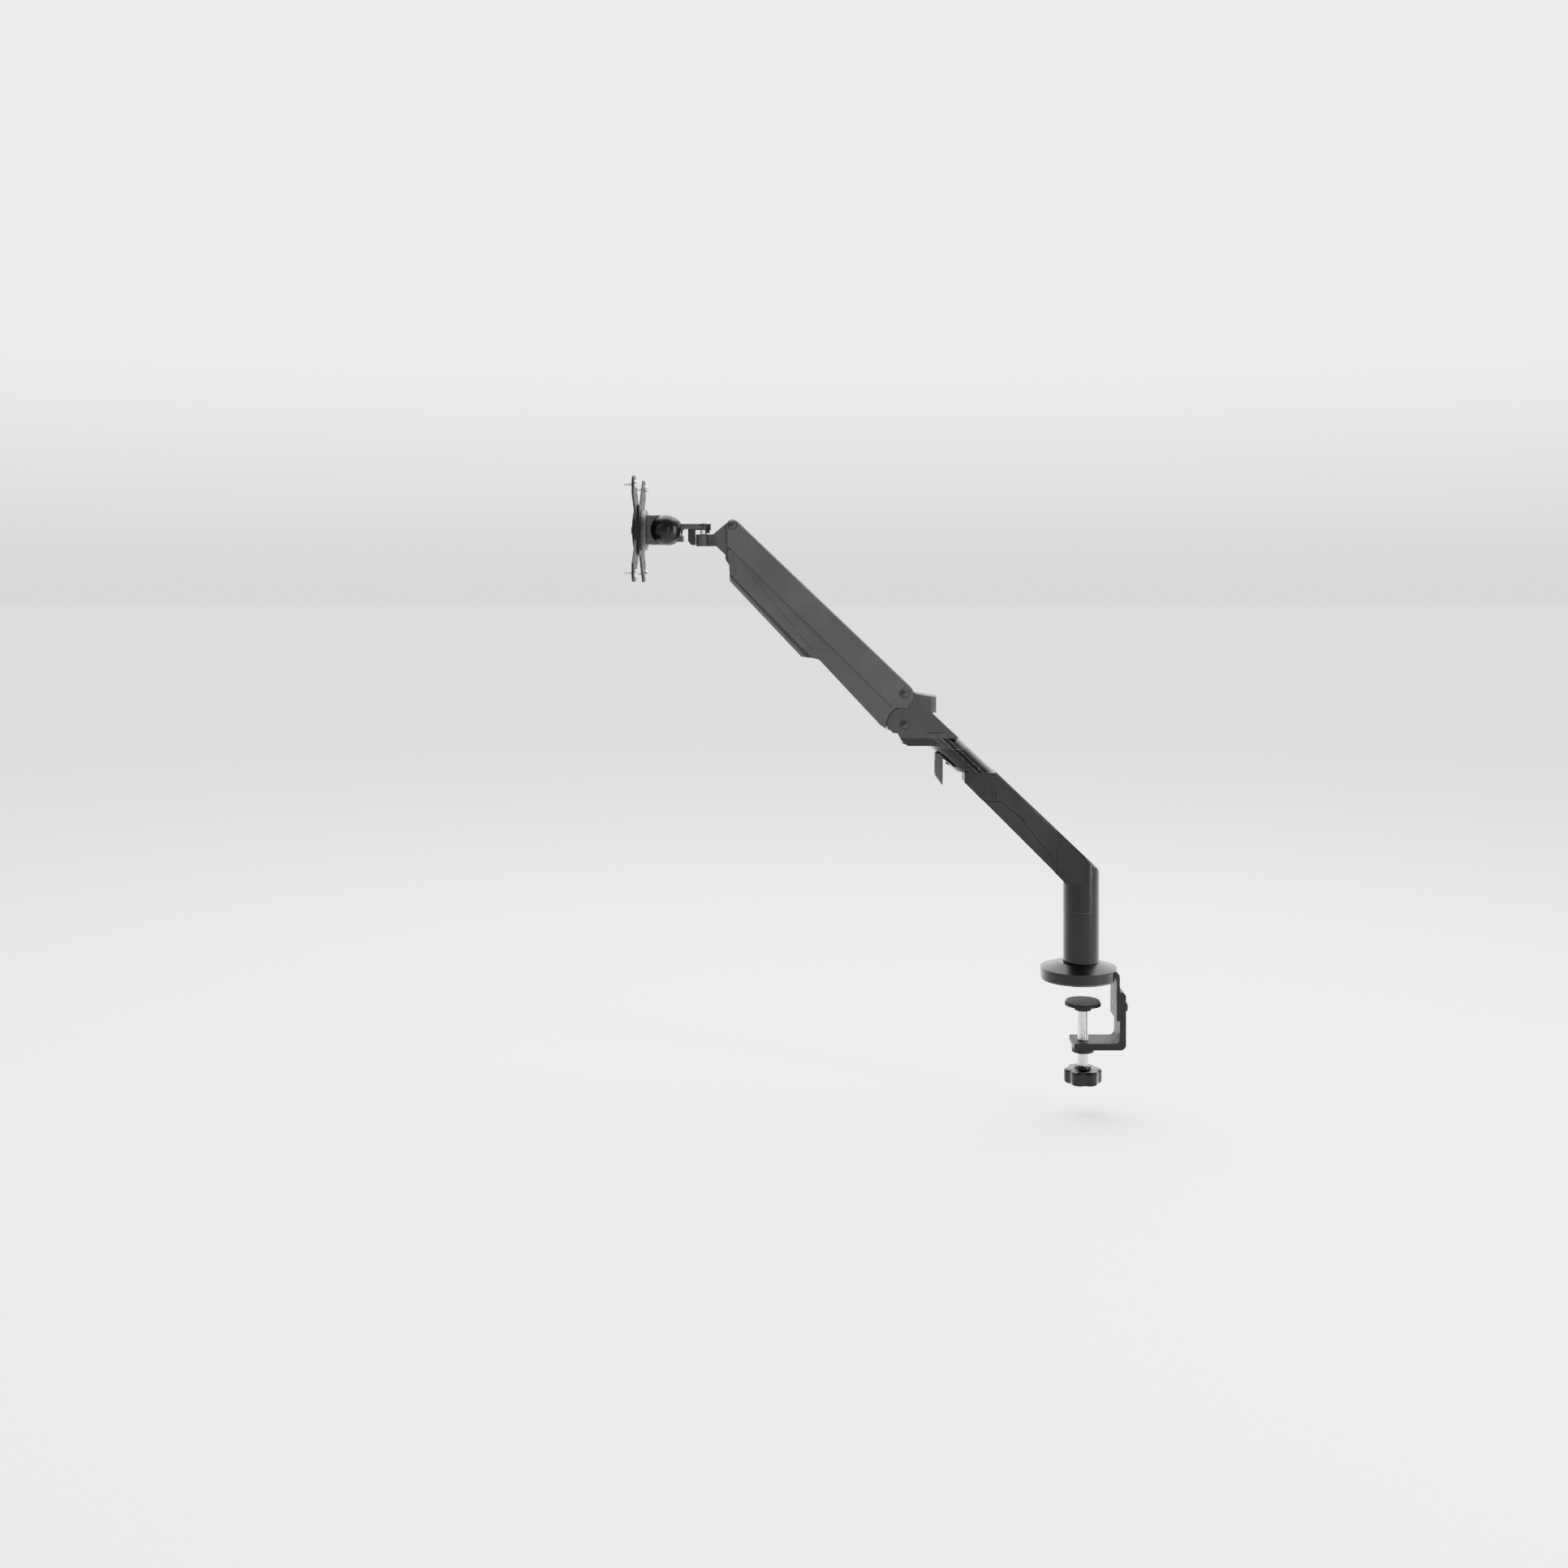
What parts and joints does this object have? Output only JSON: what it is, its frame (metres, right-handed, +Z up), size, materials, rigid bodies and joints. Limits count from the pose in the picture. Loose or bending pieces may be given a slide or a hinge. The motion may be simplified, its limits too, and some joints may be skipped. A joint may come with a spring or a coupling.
{
  "type": "monitor arm",
  "caption": "Desk monitor arm: clamp base and pole, slanted lower arm, gas spring parallelogram arm and a pan, tilt and turn head with a square mounting plate.",
  "frame": {"origin": "on the desk surface under the pole's axis", "axes": "+Z up; both arms lie in the XZ plane and reach towards -X; Y is across the arm"},
  "size_m": [0.5739, 0.12, 0.6982],
  "materials": {
    "charcoal_paint": "fine matt powder coat",
    "link_paint": "fine matt powder coat",
    "arm_paint": "satin powder coat on die-cast metal",
    "pole_paint": "smooth satin black coat",
    "clamp_paint": "black powder coat",
    "cover_plastic": "moulded satin",
    "gloss_cover": "moulded gloss",
    "washer_plastic": "black acetal, cut smooth",
    "black_screw": "black oxide",
    "bright_steel": "zinc plated",
    "strut_chrome": "hard chrome, polished",
    "bush_plastic": "bearing plastic",
    "pad_rubber": "moulded"
  },
  "bodies": {
    "base": {"base_pad": "pad_rubber", "base_plate": "clamp_paint", "clamp_strap": "clamp_paint", "base_cover": "gloss_cover", "pole": "pole_paint", "base_screws": "black_screw", "pole_washer": "washer_plastic", "clamp_jaw": "clamp_paint", "bracket_bolts": "black_screw"},
    "clamp_pad": {"press_pad": "clamp_paint", "press_facing": "pad_rubber"},
    "clamp_spindle": {"clamp_screw": "bright_steel", "clamp_knob": "gloss_cover"},
    "lower_arm": {"lower_arm": "arm_paint", "lower_cable_cover": "cover_plastic", "pole_bush": "bush_plastic", "lock_screw": "black_screw", "elbow_bush": "bush_plastic", "elbow_washer": "washer_plastic", "cable_loop": "cover_plastic", "loop_screw": "black_screw"},
    "elbow": {"elbow_bracket": "arm_paint", "elbow_shaft": "bright_steel", "elbow_nut": "black_screw", "shoulder_screws": "black_screw"},
    "tension_carriage": {"anchor_block": "bright_steel", "anchor_pin": "bright_steel"},
    "tension_spindle": {"tension_screw": "black_screw"},
    "spring_arm": {"upper_channel": "charcoal_paint", "channel_bushes": "bush_plastic", "strut_cylinder": "black_screw", "strut_hanger": "link_paint", "strut_pin": "bright_steel"},
    "strut_rod": {"strut_rod": "strut_chrome"},
    "lower_link": {"lower_link": "link_paint", "link_bushes": "bush_plastic", "lower_cover": "cover_plastic", "cover_screws": "black_screw", "side_panels": "cover_plastic", "duct_cover": "cover_plastic"},
    "head": {"head_bracket": "link_paint", "head_screws": "black_screw", "head_pin": "bright_steel", "pan_bush": "bush_plastic"},
    "pan": {"pan_yoke": "link_paint", "pan_spacer": "bright_steel", "pan_cover": "cover_plastic", "pan_bolt": "black_screw", "tilt_bush": "bush_plastic"},
    "tilt": {"tilt_fork": "link_paint", "tilt_bolt": "black_screw", "tilt_nut": "black_screw", "dome_caps": "gloss_cover", "turn_disc": "link_paint", "friction_washers": "washer_plastic", "retainer": "clamp_paint", "turn_bolt": "black_screw"},
    "plate": {"square_plate": "clamp_paint", "vesa_plate": "clamp_paint", "vesa_screws": "bright_steel"}
  },
  "joints": [
    {"name": "base_swivel", "type": "hinge", "parent": "base", "child": "lower_arm", "pos_m": [0, 0, 0.0796], "axis": [0, 0, 1], "range_deg": [-180, 180]},
    {"name": "elbow_swivel", "type": "hinge", "parent": "lower_arm", "child": "elbow", "pos_m": [-0.1512, 0, 0.2667], "axis": [0, 0, 1], "range_deg": [-120, 120]},
    {"name": "arm_lift", "type": "hinge", "parent": "elbow", "child": "spring_arm", "pos_m": [-0.2052, 0, 0.3307], "axis": [0, 1, 0], "range_deg": [-73, 0]},
    {"name": "link_follow", "type": "hinge", "parent": "elbow", "child": "lower_link", "pos_m": [-0.2052, 0, 0.2947], "axis": [0, 1, 0], "range_deg": [-73.5, 0.5]},
    {"name": "head_level", "type": "hinge", "parent": "spring_arm", "child": "head", "pos_m": [-0.40168, 0, 0.52311], "axis": [0, 1, 0], "range_deg": [-0.5, 73.5]},
    {"name": "strut_stroke", "type": "slide", "parent": "spring_arm", "child": "strut_rod", "axis": [-0.7145, 0, 0.6997], "range_m": [-0.0002, 0.0215]},
    {"name": "tension_travel", "type": "slide", "parent": "elbow", "child": "tension_carriage", "axis": [0, 0, 1], "range_m": [-0.0015, 0.0015]},
    {"name": "tension_turn", "type": "hinge", "parent": "elbow", "child": "tension_spindle", "pos_m": [-0.1815, 0, 0.32], "axis": [0, 0, 1], "range_deg": [-433, 433]},
    {"name": "head_pan", "type": "hinge", "parent": "head", "child": "pan", "pos_m": [-0.43648, 0, 0.50711], "axis": [0, 0, 1], "range_deg": [-90, 90]},
    {"name": "head_tilt", "type": "hinge", "parent": "pan", "child": "tilt", "pos_m": [-0.47878, 0, 0.51821], "axis": [0, 1, 0], "range_deg": [-45, 45]},
    {"name": "plate_turn", "type": "hinge", "parent": "tilt", "child": "plate", "pos_m": [-0.50708, 0, 0.51821], "axis": [-1, 0, 0], "range_deg": [-180, 180]},
    {"name": "clamp_travel", "type": "slide", "parent": "base", "child": "clamp_pad", "axis": [0, 0, 1], "range_m": [-0.033, 0.015]},
    {"name": "clamp_turn", "type": "hinge", "parent": "clamp_pad", "child": "clamp_spindle", "pos_m": [0.002, 0, -0.06], "axis": [0, 0, 1], "range_deg": [-6800, 3100]}
  ],
  "couplings": [
    {"joint": "link_follow", "follows": "arm_lift", "ratio": 1},
    {"joint": "head_level", "follows": "arm_lift", "ratio": -1},
    {"joint": "strut_stroke", "follows": "arm_lift", "m_per_rad": -0.01665},
    {"joint": "tension_turn", "follows": "tension_travel", "rad_per_m": -5026.5},
    {"joint": "clamp_turn", "follows": "clamp_travel", "rad_per_m": 3590.4}
  ]
}
